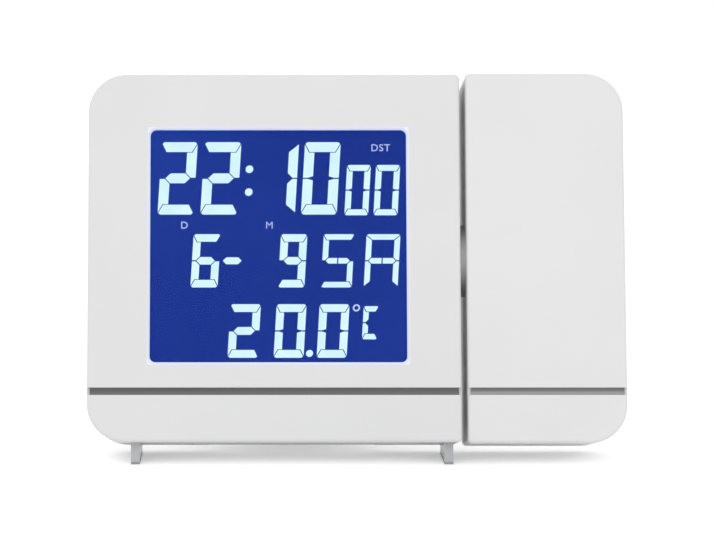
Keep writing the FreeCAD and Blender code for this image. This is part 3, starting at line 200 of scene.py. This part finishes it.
def moulded(name, colour, shade, rough, worn=0.25, coat=0.0):
    """Moulded plastic: faint clouding, spark-eroded grain, slightly polished edges."""
    material, tree, shader = grow_tree(name)
    where = upright_coordinates(tree)
    cloud = noise(tree, where, 22.0, 3.0, 0.6)
    wash = blend_colours(tree, ramp(tree, cloud, 0.3, 0.7, 0.0, 1.0), colour, shade)
    polished = tuple(min(1.0, channel * 1.06 + 0.01) for channel in colour)
    wear = calculate(tree, "MULTIPLY", edge_wear(tree), worn)
    tree.links.new(blend_colours(tree, wear, wash, polished), shader.inputs["Base Color"])
    smudge = noise(tree, where, 60.0, 3.0, 0.55)
    roughness = ramp(tree, smudge, 0.3, 0.7, rough - 0.04, rough + 0.05)
    tree.links.new(roughness, shader.inputs["Roughness"])
    bump(tree, shader, noise(tree, where, GRAIN_SCALE, 2.0, 0.7), GRAIN_DEPTH)
    shader.inputs["Coat Weight"].default_value = coat
    shader.inputs["Coat Roughness"].default_value = 0.25
    shader.inputs["IOR"].default_value = PLASTIC_IOR
    return material


def metal(name, colour, shade, rough, stretch=(40.0, 1400.0, 1400.0)):
    """Metal with fine drawn lines and slight staining."""
    material, tree, shader = grow_tree(name)
    where = upright_coordinates(tree)
    squeeze = tree.nodes.new("ShaderNodeMapping")
    squeeze.inputs["Scale"].default_value = stretch
    tree.links.new(where, squeeze.inputs["Vector"])
    lines = noise(tree, squeeze.outputs["Vector"], 1.0, 3.0, 0.6)
    stain = noise(tree, where, 90.0, 3.0)
    tone = blend_colours(tree, ramp(tree, stain, 0.35, 0.65, 0.0, 1.0), colour, shade)
    tree.links.new(tone, shader.inputs["Base Color"])
    roughness = ramp(tree, lines, 0.3, 0.7, rough - 0.08, rough + 0.1)
    tree.links.new(roughness, shader.inputs["Roughness"])
    shader.inputs["Metallic"].default_value = 1.0
    bump(tree, shader, lines, 0.00002, 0.6)
    return material


def rubber(name, colour, shade):
    """Matt rubber with a fine pebbled skin and a little dust."""
    material, tree, shader = grow_tree(name)
    where = upright_coordinates(tree)
    cells = tree.nodes.new("ShaderNodeTexVoronoi")
    cells.inputs["Scale"].default_value = 1400.0
    tree.links.new(where, cells.inputs["Vector"])
    dust = noise(tree, where, 130.0, 4.0, 0.65)
    tone = blend_colours(tree, ramp(tree, dust, 0.4, 0.75, 0.0, 1.0), colour, shade)
    tree.links.new(tone, shader.inputs["Base Color"])
    tree.links.new(ramp(tree, dust, 0.3, 0.7, 0.72, 0.9), shader.inputs["Roughness"])
    bump(tree, shader, cells.outputs["Distance"], 0.00004, 0.5)
    return material


def glassy(name, colour, rough, transmission):
    """Clear moulded plastic or glass with faint wipe marks."""
    material, tree, shader = grow_tree(name)
    where = upright_coordinates(tree)
    marks = noise(tree, where, 180.0, 4.0, 0.7)
    wiped = tuple(channel * 0.985 for channel in colour)
    tone = blend_colours(tree, ramp(tree, marks, 0.3, 0.7, 0.0, 1.0), colour, wiped)
    tree.links.new(tone, shader.inputs["Base Color"])
    tree.links.new(ramp(tree, marks, 0.3, 0.7, rough, rough + 0.03), shader.inputs["Roughness"])
    shader.inputs["Transmission Weight"].default_value = transmission
    shader.inputs["IOR"].default_value = PLASTIC_IOR
    bump(tree, shader, marks, 0.00001, 0.2)
    return material


def board_material(name):
    """Green solder mask over copper runs."""
    material, tree, shader = grow_tree(name)
    bricks = tree.nodes.new("ShaderNodeTexBrick")
    bricks.inputs["Scale"].default_value = 260.0
    bricks.inputs["Mortar Size"].default_value = 0.06
    bricks.inputs["Color1"].default_value = (0.012, 0.13, 0.05, 1)
    bricks.inputs["Color2"].default_value = (0.014, 0.16, 0.06, 1)
    bricks.inputs["Mortar"].default_value = (0.03, 0.26, 0.09, 1)
    tree.links.new(upright_coordinates(tree), bricks.inputs["Vector"])
    tree.links.new(bricks.outputs["Color"], shader.inputs["Base Color"])
    shader.inputs["Roughness"].default_value = 0.35
    bump(tree, shader, bricks.outputs["Fac"], 0.00003, 0.5)
    return material


def display_material(name, deep, pale):
    """The lit display: deep blue, slightly uneven, with a faint dot structure."""
    material, tree, shader = grow_tree(name)
    where = upright_coordinates(tree)
    cloud = noise(tree, where, 14.0)
    tone = blend_colours(tree, ramp(tree, cloud, 0.3, 0.7, 0.0, 1.0), deep, pale)
    tree.links.new(tone, shader.inputs["Emission Color"])
    shader.inputs["Emission Strength"].default_value = 1.0
    shader.inputs["Base Color"].default_value = (0.004, 0.006, 0.02, 1)
    shader.inputs["Roughness"].default_value = 0.5
    bump(tree, shader, noise(tree, where, 1500.0, 1.0), 0.00001, 0.3)
    return material


def glow_material(name, colour, pale):
    """A lit mark on the display, a little uneven."""
    material, tree, shader = grow_tree(name)
    cloud = noise(tree, upright_coordinates(tree), 120.0)
    tone = blend_colours(tree, ramp(tree, cloud, 0.3, 0.7, 0.0, 1.0), colour, pale)
    tree.links.new(tone, shader.inputs["Emission Color"])
    shader.inputs["Emission Strength"].default_value = 1.0
    shader.inputs["Base Color"].default_value = (0.02, 0.02, 0.02, 1)
    shader.inputs["Roughness"].default_value = 0.6
    return material


def clear_sheet(name):
    """The display window: clear, with a very weak soft reflection and faint wipe marks in it."""
    material, tree, shader = grow_tree(name)
    marks = noise(tree, upright_coordinates(tree), 150.0, 4.0, 0.7)
    through = tree.nodes.new("ShaderNodeBsdfTransparent")
    shine = tree.nodes.new("ShaderNodeBsdfGlossy")
    tree.links.new(ramp(tree, marks, 0.3, 0.7, 0.12, 0.2), shine.inputs["Roughness"])
    mix = tree.nodes.new("ShaderNodeMixShader")
    mix.inputs["Fac"].default_value = 0.004
    tree.links.new(through.outputs["BSDF"], mix.inputs[1])
    tree.links.new(shine.outputs["BSDF"], mix.inputs[2])
    tree.links.new(mix.outputs["Shader"], tree.nodes["Material Output"].inputs["Surface"])
    return material


def past_edge(tree, value, centre, half):
    """How far a coordinate lies outside a span of half a width each side of its centre."""
    away = calculate(tree, "SUBTRACT", value, centre)
    return calculate(tree, "SUBTRACT", calculate(tree, "ABSOLUTE", away), half)


def paint_rim_glow(material):
    """Paints the display's pale blue light as a glow on the bevel round it, as emission on the housing
    plastic.
    """
    tree = material.node_tree
    shader = tree.nodes["Principled BSDF"]
    parts = upright_parts(tree)
    centre_x = (WINDOW_LEFT + WINDOW_RIGHT) / 2000
    centre_z = upright_height((WINDOW_BOTTOM + WINDOW_TOP) / 2)
    beside = past_edge(tree, parts["X"], centre_x, (WINDOW_RIGHT - WINDOW_LEFT) / 2000)
    above = past_edge(tree, parts["Z"], centre_z, (WINDOW_TOP - WINDOW_BOTTOM) / 2000)
    outside = calculate(tree, "MAXIMUM", beside, above)
    spill = ramp(tree, outside, RIM_WIDTH / 1000, (RIM_WIDTH + RIM_FADE) / 1000, 1.0, 0.0)
    shader.inputs["Emission Color"].default_value = (*RIM_GLOW_BLUE, 1)
    tree.links.new(calculate(tree, "MULTIPLY", spill, RIM_GLOW), shader.inputs["Emission Strength"])


def paint_highlight_below(material, height, colour):
    """Paints a highlight on a trim band: a lighter tone below a height on the upright case, in
    millimetres.
    """
    tree = material.node_tree
    shader = tree.nodes["Principled BSDF"]
    middle = upright_height(height)
    below = ramp(tree, upright_parts(tree)["Z"], middle - HIGHLIGHT_FADE, middle + HIGHLIGHT_FADE, 1.0, 0.0)
    tone = shader.inputs["Base Color"].links[0].from_socket
    tree.links.new(blend_colours(tree, below, tone, colour), shader.inputs["Base Color"])


# Colours and materials

HOUSING_TONE = (0.775, 0.775, 0.775)
HOUSING_SHADE = (0.75, 0.75, 0.75)
HOUSING_ROUGH = 0.42

HOUSING = moulded("housing_plastic", HOUSING_TONE, HOUSING_SHADE, HOUSING_ROUGH)
FRONT = moulded("front_plastic", HOUSING_TONE, HOUSING_SHADE, HOUSING_ROUGH)
ARM = moulded("arm_plastic", (0.80, 0.80, 0.80), (0.775, 0.775, 0.775), 0.40)
INNER = moulded("inner_plastic", (0.70, 0.70, 0.68), (0.66, 0.66, 0.64), 0.5)
KEYS = moulded("key_plastic", (0.52, 0.53, 0.55), (0.48, 0.49, 0.51), 0.38, coat=0.1)
FOOT = moulded("foot_plastic", (0.50, 0.51, 0.53), (0.44, 0.45, 0.48), 0.3, coat=0.3)
BUSH = moulded("bush_plastic", (0.75, 0.72, 0.66), (0.71, 0.68, 0.62), 0.4)
# Painted shade: the hub is a darker grey than the housing, standing for the shade in the narrow gap it
# sits in.
SHADED_HUB = moulded("hub_plastic", (0.40, 0.40, 0.41), (0.36, 0.36, 0.37), 0.4)
BLACK = moulded("black_plastic", (0.02, 0.02, 0.022), (0.028, 0.028, 0.03), 0.45, worn=0.5)
CELL = moulded("cell_jacket", (0.02, 0.02, 0.025), (0.04, 0.035, 0.02), 0.25, coat=0.6)
LAMP = moulded("lamp_body", (0.85, 0.84, 0.74), (0.8, 0.78, 0.66), 0.35)
FERRITE = moulded("ferrite", (0.04, 0.038, 0.038), (0.06, 0.055, 0.05), 0.6, worn=0.6)
BAND = moulded("band", (0.080, 0.080, 0.082), (0.095, 0.095, 0.097), 0.36, worn=0.3, coat=0.15)
# Painted highlight: the arm's band is a lighter copy of the case band's material, standing for a
# reflection on it.
HIGHLIT_ARM_BAND = moulded("arm_band", (0.125, 0.125, 0.127), (0.14, 0.14, 0.142), 0.34, worn=0.3, coat=0.15)
STEEL = metal("steel", (0.55, 0.55, 0.56), (0.45, 0.45, 0.46), 0.32)
CONTACT = metal("contact_steel", (0.68, 0.68, 0.67), (0.6, 0.6, 0.58), 0.22)
COPPER = metal("copper", (0.70, 0.30, 0.12), (0.6, 0.24, 0.10), 0.3, (2600.0, 300.0, 300.0))
PAD = rubber("pad_rubber", (0.30, 0.30, 0.305), (0.36, 0.36, 0.36))
STRIP = rubber("strip_rubber", (0.45, 0.16, 0.15), (0.5, 0.22, 0.2))
CABLE = rubber("cable_jacket", (0.02, 0.02, 0.02), (0.045, 0.045, 0.045))
WINDOW = clear_sheet("display_clear")
LENS = glassy("lens_glass", (0.95, 0.98, 1.0), 0.02, 1.0)
GUIDE = glassy("guide_plastic", (0.8, 0.88, 1.0), 0.2, 0.4)
BOARD = board_material("board")
DISPLAY = display_material("display_blue", (0.0035, 0.025, 0.250), (0.0065, 0.035, 0.300))
FIGURES = glow_material("lit_figures", (0.62, 0.88, 0.98), (0.70, 0.95, 1.0))
CAPTIONS = glow_material("lit_captions", (0.42, 0.52, 0.84), (0.50, 0.60, 0.90))
DEGREE = glow_material("dim_figures", (0.42, 0.54, 0.84), (0.48, 0.60, 0.88))

# Painted glow: the bevel round the display window glows pale blue as if lit by the display.
paint_rim_glow(FRONT)
# Painted highlights: each trim band is lighter below a height, standing for a reflection on it.
paint_highlight_below(BAND, 14.9, (0.125, 0.125, 0.127))
paint_highlight_below(HIGHLIT_ARM_BAND, 15.0, (0.30, 0.30, 0.302))
for material in (DISPLAY, FIGURES, CAPTIONS):
    material.node_tree.nodes["Principled BSDF"].inputs["Specular IOR Level"].default_value = 0.0

BY_SLOT = {
    "housing_plastic": HOUSING,
    "arm_plastic": ARM,
    "inner_plastic": INNER,
    "key_plastic": KEYS,
    "foot_plastic": FOOT,
    "bush_plastic": BUSH,
    "hub_plastic": SHADED_HUB,
    "black_plastic": BLACK,
    "cell_jacket": CELL,
    "lamp_body": LAMP,
    "ferrite": FERRITE,
    "band": BAND,
    "steel": STEEL,
    "contact_steel": CONTACT,
    "copper": COPPER,
    "pad_rubber": PAD,
    "strip_rubber": STRIP,
    "cable_jacket": CABLE,
    "clear_window": WINDOW,
    "lens_glass": LENS,
    "guide_plastic": GUIDE,
    "board": BOARD,
    "display_blue": DISPLAY,
}

# Pieces whose finish is not the one of their slot
BY_NODE = {
    "front_shell": FRONT,
    "arm_band": HIGHLIT_ARM_BAND,
}


def dress_parts():
    """Gives every piece the material of its slot, or its own."""
    for part in frame["record"]["subparts"]:
        node = part["node"]
        material = BY_NODE.get(node, BY_SLOT[part["material_slot"]])
        for slot in frame["nodes"][node].material_slots:
            slot.material = material


dress_parts()

# The lit marks on the display, in millimetres from the top left corner of the opening, before the slant

SLANT = math.tan(math.radians(3.4))
MARK_Y = 2.94
MARK_HALF = 0.03
MARK_GAP = 0.19
SEAM_REACH = 0.45
DOT_SIDES = 20

# Figure, left, top, width, height and stroke
FIGURE_ROWS = [
    ("2", 2.1, 3.4, 10.7, 21.9, 2.98),
    ("2", 14.9, 3.4, 11.0, 21.9, 2.98),
    ("1", 32.2, 3.4, 11.0, 21.9, 2.84),
    ("0", 45.0, 3.4, 10.7, 21.9, 2.98),
    ("0", 58.0, 10.3, 7.1, 15.2, 1.79),
    ("0", 66.7, 10.3, 7.2, 15.2, 1.79),
    ("6", 12.0, 31.2, 8.1, 16.0, 2.27),
    ("-", 21.2, 31.2, 5.6, 16.0, 2.09),
    ("9", 38.1, 31.2, 7.9, 16.0, 2.27),
    ("S", 50.9, 31.2, 9.2, 16.0, 1.67),
    ("A", 63.7, 31.2, 10.1, 16.0, 1.67),
    ("2", 23.1, 52.2, 9.0, 16.0, 2.33),
    ("0", 36.8, 52.2, 8.9, 16.0, 2.33),
    ("0", 49.6, 52.2, 8.9, 16.0, 2.33),
    ("C", 63.1, 52.8, 4.5, 9.9, 1.61),
]

# The segments lit in each figure
LIT = {
    "0": "abcdef",
    "1": "bc",
    "2": "abged",
    "6": "afgedc",
    "9": "abcdfg",
    "-": "m",
    "S": "afhicd",
    "A": "abcefhi",
    "C": "afed",
}

# Left, top and radius of the colon's two dots and the decimal point
DOTS = [(29.6, 11.6, 1.15), (29.4, 18.5, 1.15), (47.5, 66.9, 1.05)]

RING_LEFT = 61.5
RING_TOP = 53.3
RING_OUTER = 1.1
RING_INNER = 0.62

# Name, letters, left, top and added weight of the captions, and their height
CAPTION_ROWS = [
    ("summer_mark", "DST", 66.0, 3.9, 0.02),
    ("day_mark", "D", 9.0, 27.3, 0.02),
    ("month_mark", "M", 34.4, 27.3, 0.0),
]
CAPTION_HEIGHT = 2.2
FONT_RATIO = 1.37


def segment(letter, w, h, t, figure):
    """The outline of one display segment in a figure of width w, height h and stroke t."""
    g = MARK_GAP
    middle = h / 2
    half = t / 2
    centre = w / 2
    nip = t * 0.18
    cut = t if figure in "1A" else t * SEAM_REACH
    waist = half * 0.3 if figure == "0" else half
    upper = middle + half
    lower = middle - half
    outlines = {
        "a": [
            (g + nip, h), (w - g - nip, h), (w - g, h - nip),
            (w - cut - g, h - t), (cut + g, h - t), (g, h - nip),
        ],
        "b": [
            (w, h - g - nip), (w, middle + g), (w - half, middle + g),
            (w - t, middle + waist + g), (w - t, h - t - g), (w - cut, h - t - g),
        ],
        "c": [
            (w, g + nip), (w - cut, t + g), (w - t, t + g),
            (w - t, middle - waist - g), (w - half, middle - g), (w, middle - g),
        ],
        "d": [
            (g, nip), (cut + g, t), (w - cut - g, t),
            (w - g, nip), (w - g - nip, 0), (g + nip, 0),
        ],
        "e": [
            (0, g + nip), (0, middle - g), (half, middle - g),
            (t, middle - waist - g), (t, t + g), (cut, t + g),
        ],
        "f": [
            (0, h - g - nip), (cut, h - t - g), (t, h - t - g),
            (t, middle + waist + g), (half, middle + g), (0, middle + g),
        ],
        "g": [
            (half + g, middle), (t + g, upper), (w - t - g, upper),
            (w - half - g, middle), (w - t - g, lower), (t + g, lower),
        ],
        "h": [
            (half + g, middle), (t + g, upper), (centre - g, upper),
            (centre - g, lower), (t + g, lower),
        ],
        "i": [
            (centre + g, upper), (w - t - g, upper), (w - half - g, middle),
            (w - t - g, lower), (centre + g, lower),
        ],
        "m": [
            (0, middle), (half, upper), (w - half, upper),
            (w, middle), (w - half, lower), (half, lower),
        ],
    }
    return outlines[letter]


def circle(radius):
    """Points round a circle about the origin."""
    angles = [math.tau * n / DOT_SIDES for n in range(DOT_SIDES)]
    return [(radius * math.cos(angle), radius * math.sin(angle)) for angle in angles]


def plate(mesh, points, left, top, height):
    """One thin lit plate from an outline measured from a figure's lower left corner."""
    base = WINDOW_TOP - top - height
    ring = [(WINDOW_LEFT + left + x + y * SLANT, base + y) for x, y in points]
    front = [mesh.verts.new(spot(x, MARK_Y - MARK_HALF, z)) for x, z in ring]
    back = [mesh.verts.new(spot(x, MARK_Y + MARK_HALF, z)) for x, z in ring]
    mesh.faces.new(front)
    mesh.faces.new(list(reversed(back)))
    for n in range(len(ring)):
        after = (n + 1) % len(ring)
        mesh.faces.new((front[n], back[n], back[after], front[after]))


def keep_mark(name, data, material):
    """Turns mesh data into a lit mark that rides on the case."""
    data.materials.clear()
    data.materials.append(material)
    piece = placed(name, data)
    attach(piece, "case")


def mesh_data(name, mesh):
    """Mesh data from a bmesh, with its faces turned outwards."""
    bmesh.ops.recalc_face_normals(mesh, faces=mesh.faces)
    data = bpy.data.meshes.new(name)
    mesh.to_mesh(data)
    mesh.free()
    return data


def add_figures():
    """The large lit figures, with the colon's dots and the decimal point."""
    mesh = bmesh.new()
    for figure, left, top, width, height, stroke in FIGURE_ROWS:
        for letter in LIT[figure]:
            plate(mesh, segment(letter, width, height, stroke, figure), left, top, height)
    for left, top, radius in DOTS:
        plate(mesh, circle(radius), left, top, 0)
    keep_mark("figures", mesh_data("figures", mesh), FIGURES)


def add_degree_ring():
    """The small ring of the degree sign."""
    mesh = bmesh.new()
    outer = circle(RING_OUTER)
    inner = circle(RING_INNER)
    for n in range(DOT_SIDES):
        after = (n + 1) % DOT_SIDES
        plate(mesh, [outer[n], outer[after], inner[after], inner[n]], RING_LEFT, RING_TOP, 0)
    keep_mark("degree_ring", mesh_data("degree_ring", mesh), DEGREE)


def add_caption(name, words, left, top, weight):
    """Small plain lettering on the display, as flat lit plates."""
    curve = bpy.data.curves.new(name, "FONT")
    curve.body = words
    curve.size = CAPTION_HEIGHT * FONT_RATIO
    curve.space_character = 1.12
    curve.offset = weight
    text = placed(name, curve)
    bpy.context.view_layer.update()
    outline = bpy.data.meshes.new_from_object(text.evaluated_get(bpy.context.evaluated_depsgraph_get()))
    bpy.data.objects.remove(text)
    base = WINDOW_TOP - top - CAPTION_HEIGHT
    for vertex in outline.vertices:
        vertex.co = spot(WINDOW_LEFT + left + vertex.co.x, MARK_Y, base + vertex.co.y)
    keep_mark(name, outline, CAPTIONS)


add_figures()
add_degree_ring()
for row in CAPTION_ROWS:
    add_caption(*row)

# Floor, light and camera, in metres

FLOOR_SIZE = 8.0
FLOOR_LIFT = 0.34
WORLD_LEVEL = 0.80
LAMP_TARGET = (0, 0, 0.06)

# The photograph's frame and the pixel straight ahead of the camera
PHOTO_WIDTH = 716.0
PHOTO_HEIGHT = 540.0
AHEAD_COLUMN = 261.1
AHEAD_ROW = 255.7
FOCAL_PIXELS = 2486.0
SENSOR_WIDTH = 36.0
EYE_PLACE = (-0.0284, -0.750, 0.1351)
EYE_DIP = 0.100


def direct_sight(tree):
    """1 for the camera's rays and for those seen in a reflection or through glass, else 0."""
    path = tree.nodes.new("ShaderNodeLightPath")
    total = path.outputs["Is Camera Ray"]
    for name in ("Is Glossy Ray", "Is Transmission Ray"):
        total = calculate(tree, "MAXIMUM", total, path.outputs[name])
    return total


def floor_material(name):
    """A white matt floor that keeps the shadow and looks plain white where nothing shades it."""
    material, tree, shader = grow_tree(name)
    where = tree.nodes.new("ShaderNodeTexCoord").outputs["Object"]
    tone = blend_colours(tree, noise(tree, where, 3.0), (0.965, 0.965, 0.965), (0.975, 0.975, 0.975))
    tree.links.new(tone, shader.inputs["Base Color"])
    shader.inputs["Roughness"].default_value = 0.9
    shader.inputs["Specular IOR Level"].default_value = 0.0
    shader.inputs["Emission Color"].default_value = (1, 1, 1, 1)
    lift = calculate(tree, "MULTIPLY", direct_sight(tree), FLOOR_LIFT)
    tree.links.new(lift, shader.inputs["Emission Strength"])
    return material


def add_floor():
    """The wide flat floor."""
    mesh = bmesh.new()
    bmesh.ops.create_grid(mesh, x_segments=2, y_segments=2, size=FLOOR_SIZE)
    data = bpy.data.meshes.new("floor")
    mesh.to_mesh(data)
    mesh.free()
    data.materials.append(floor_material("floor_white"))
    placed("floor", data)


def add_world():
    """Even white light all round, seen as plain white."""
    world = bpy.data.worlds.new("studio")
    bpy.context.scene.world = world
    world.use_nodes = True
    tree = world.node_tree
    background = tree.nodes["Background"]
    background.inputs["Color"].default_value = (1, 1, 1, 1)
    level = ramp(tree, direct_sight(tree), 0.0, 1.0, WORLD_LEVEL, 1.0)
    tree.links.new(level, background.inputs["Strength"])


def soft_lamp(name, place, size, power):
    """A wide soft lamp aimed at the clock."""
    data = bpy.data.lights.new(name, "AREA")
    data.shape = "RECTANGLE"
    data.size = size[0]
    data.size_y = size[1]
    data.energy = power
    lamp = placed(name, data)
    lamp.location = place
    lamp.rotation_euler = (Vector(LAMP_TARGET) - Vector(place)).to_track_quat("-Z", "Y").to_euler()


def add_camera():
    """The camera at the photograph's viewing angle and framing."""
    eye = bpy.data.cameras.new("camera")
    camera = placed("camera", eye)
    camera.location = EYE_PLACE
    camera.rotation_euler = (math.radians(90) - EYE_DIP, 0, 0)
    eye.sensor_width = SENSOR_WIDTH
    eye.lens = SENSOR_WIDTH * FOCAL_PIXELS / PHOTO_WIDTH
    eye.shift_x = (PHOTO_WIDTH / 2 - AHEAD_COLUMN) / PHOTO_WIDTH
    eye.shift_y = (AHEAD_ROW - PHOTO_HEIGHT / 2) / PHOTO_WIDTH
    eye.clip_start = 0.01
    bpy.context.scene.camera = camera


add_floor()
add_world()
soft_lamp("key", (-0.7, -1.1, 1.1), (1.0, 0.8), 4.0)
soft_lamp("fill", (0.9, -1.2, 0.6), (0.9, 0.9), 2.0)
add_camera()
bpy.context.scene.view_settings.view_transform = "Standard"
